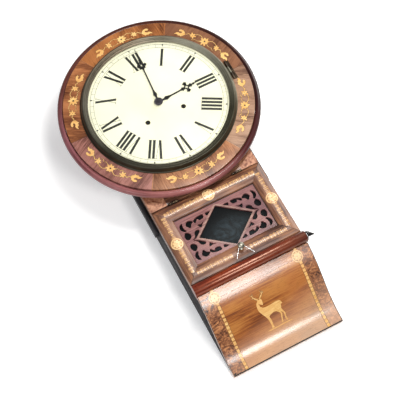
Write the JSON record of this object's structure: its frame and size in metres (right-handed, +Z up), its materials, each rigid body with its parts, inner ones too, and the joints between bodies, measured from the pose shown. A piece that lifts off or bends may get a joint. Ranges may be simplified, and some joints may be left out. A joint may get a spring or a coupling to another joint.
{
  "type": "drop dial wall clock",
  "caption": "Wall clock: round inlaid face ring, hinged brass bezel over a painted Roman dial, trunk with a pierced top-hung door above an ogee base, spring-driven striking movement inside.",
  "frame": {"origin": "on the wall plane, straight behind the centre of the dial", "axes": "+Z up, -Y out of the wall towards the viewer, +X to the viewer's right"},
  "size_m": [0.422, 0.1424, 0.767],
  "materials": {
    "walnut_veneer": "polished veneer",
    "burr_veneer": "polished burr veneer",
    "mahogany": "french polish",
    "dark_side": "dark stain, dull",
    "pine": "bare",
    "fret_wood": "satin",
    "ebonised_wood": "gloss black",
    "aged_brass": "tarnished",
    "brass": "satin",
    "steel": "satin",
    "black_steel": "blued to black",
    "iron": "black",
    "dial_paint": "aged cream enamel paint",
    "putty": "dried putty",
    "clear_glass": "clear",
    "dark_glass": "glass, dark behind"
  },
  "bodies": {
    "case": {"backboard": "pine", "hanger_plate": "black_steel", "case_side_left": "dark_side", "case_side_right": "dark_side", "case_top": "dark_side", "ear_left": "dark_side", "ear_right": "dark_side", "top_rail": "burr_veneer", "roll_moulding": "mahogany", "roll_finial": "ebonised_wood", "lower_panel": "walnut_veneer", "movement_batten_left": "pine", "movement_batten_right": "pine", "hinge_leaf_left": "brass", "hinge_leaf_right": "brass", "head_ring": "walnut_veneer", "rim_moulding": "mahogany", "dial_plate": "dial_paint", "bezel_hinge_plate": "aged_brass", "front_plate": "brass", "back_plate": "brass", "suspension_cock": "brass", "gong_stand": "iron", "gong_coil": "black_steel", "time_mainspring": "black_steel", "strike_mainspring": "black_steel"},
    "bezel": {"bezel": "aged_brass", "bezel_glass": "clear_glass", "glazing_ring": "putty"},
    "door": {"door_rail_top": "walnut_veneer", "door_rail_bottom": "walnut_veneer", "door_stile_left": "walnut_veneer", "door_stile_right": "walnut_veneer", "fret_panel": "fret_wood", "door_glass": "dark_glass", "door_leaf_left": "brass", "door_leaf_right": "brass"},
    "catch": {"door_knob": "brass", "catch_spring": "steel"},
    "minute": {"centre_wheel": "brass", "minute_hand": "black_steel", "hand_nut": "black_steel"},
    "hour": {"hour_wheel": "brass", "hour_hand": "black_steel"},
    "minute_wheel": {"minute_wheel": "brass"},
    "time_second": {"time_second_wheel": "brass"},
    "time_great": {"time_great_wheel": "brass"},
    "time_arbor": {"time_winding_arbor": "steel"},
    "third": {"third_wheel": "brass"},
    "escape": {"escape_wheel": "brass"},
    "verge": {"verge": "steel"},
    "pendulum": {"pendulum_rod": "steel", "pendulum_bob": "brass"},
    "rating_nut": {"rating_nut": "brass"},
    "strike_second": {"strike_second_wheel": "brass"},
    "strike_great": {"strike_great_wheel": "brass"},
    "strike_arbor": {"strike_winding_arbor": "steel"},
    "strike_third": {"strike_third_wheel": "brass"},
    "fly": {"strike_fly": "brass"},
    "hammer": {"strike_hammer": "steel"}
  },
  "joints": [
    {"name": "bezel_hinge", "type": "hinge", "parent": "case", "child": "bezel", "pos_m": [0.1656, -0.1252, 0], "axis": [0, 0, 1], "range_deg": [0, 115]},
    {"name": "door_hinge", "type": "hinge", "parent": "case", "child": "door", "pos_m": [0, -0.0956, -0.204], "axis": [-1, 0, 0], "range_deg": [0, 55]},
    {"name": "catch_turn", "type": "hinge", "parent": "door", "child": "catch", "pos_m": [0, -0.097, -0.3544], "axis": [0, 1, 0], "range_deg": [0, 180]},
    {"name": "minute_turn", "type": "hinge", "parent": "case", "child": "minute", "pos_m": [0, -0.1, 0], "axis": [0, 1, 0], "continuous": true},
    {"name": "hour_turn", "type": "hinge", "parent": "case", "child": "hour", "pos_m": [0, -0.12, 0], "axis": [0, 1, 0], "continuous": true},
    {"name": "minute_wheel_turn", "type": "hinge", "parent": "case", "child": "minute_wheel", "pos_m": [-0.01128, -0.114, -0.0041], "axis": [0, 1, 0], "continuous": true},
    {"name": "time_second_turn", "type": "hinge", "parent": "case", "child": "time_second", "pos_m": [0.00522, -0.095, -0.02744], "axis": [0, 1, 0], "continuous": true},
    {"name": "time_great_turn", "type": "hinge", "parent": "case", "child": "time_great", "pos_m": [0.0409, -0.105, -0.0322], "axis": [0, 1, 0], "continuous": true},
    {"name": "third_turn", "type": "hinge", "parent": "case", "child": "third", "pos_m": [0.01932, -0.09, 0.01927], "axis": [0, 1, 0], "continuous": true},
    {"name": "escape_turn", "type": "hinge", "parent": "case", "child": "escape", "pos_m": [0, -0.084, 0.03137], "axis": [0, 1, 0], "continuous": true},
    {"name": "pendulum_swing", "type": "hinge", "parent": "case", "child": "pendulum", "pos_m": [0, -0.06, 0.054], "axis": [0, 1, 0], "range_deg": [-3.5, 3.5]},
    {"name": "verge_swing", "type": "hinge", "parent": "case", "child": "verge", "pos_m": [0, -0.084, 0.054], "axis": [0, 1, 0], "range_deg": [-3.5, 3.5]},
    {"name": "rating_nut_turn", "type": "hinge", "parent": "pendulum", "child": "rating_nut", "pos_m": [0, -0.06, -0.3258], "axis": [0, 0, 1], "continuous": true},
    {"name": "time_winding", "type": "hinge", "parent": "case", "child": "time_arbor", "pos_m": [0.0409, -0.105, -0.0322], "axis": [0, 1, 0], "continuous": true},
    {"name": "strike_winding", "type": "hinge", "parent": "case", "child": "strike_arbor", "pos_m": [-0.0409, -0.105, -0.0322], "axis": [0, 1, 0], "continuous": true},
    {"name": "strike_second_turn", "type": "hinge", "parent": "case", "child": "strike_second", "pos_m": [-0.0409, -0.1, 0.0038], "axis": [0, 1, 0], "continuous": true},
    {"name": "strike_great_turn", "type": "hinge", "parent": "case", "child": "strike_great", "pos_m": [-0.0409, -0.105, -0.0322], "axis": [0, 1, 0], "continuous": true},
    {"name": "strike_third_turn", "type": "hinge", "parent": "case", "child": "strike_third", "pos_m": [-0.0283, -0.09, 0.02562], "axis": [0, 1, 0], "continuous": true},
    {"name": "fly_turn", "type": "hinge", "parent": "case", "child": "fly", "pos_m": [-0.03766, -0.095, 0.04184], "axis": [0, 1, 0], "continuous": true},
    {"name": "hammer_lift", "type": "hinge", "parent": "case", "child": "hammer", "pos_m": [-0.068, -0.068, 0.005], "axis": [0, 1, 0], "range_deg": [0, 10], "stiffness_Nm_per_rad": 0.03, "springref_deg": -17.19}
  ],
  "couplings": [
    {"joint": "hour_turn", "follows": "minute_turn", "ratio": 0.083333},
    {"joint": "minute_wheel_turn", "follows": "minute_turn", "ratio": -0.33333},
    {"joint": "time_second_turn", "follows": "minute_turn", "ratio": -0.16667},
    {"joint": "time_great_turn", "follows": "minute_turn", "ratio": 0.025641},
    {"joint": "third_turn", "follows": "minute_turn", "ratio": -7.5},
    {"joint": "escape_turn", "follows": "minute_turn", "ratio": 67.5},
    {"joint": "verge_swing", "follows": "pendulum_swing", "ratio": 1},
    {"joint": "strike_great_turn", "follows": "strike_second_turn", "ratio": -0.15385},
    {"joint": "strike_third_turn", "follows": "strike_second_turn", "ratio": -6},
    {"joint": "fly_turn", "follows": "strike_second_turn", "ratio": 30}
  ]
}
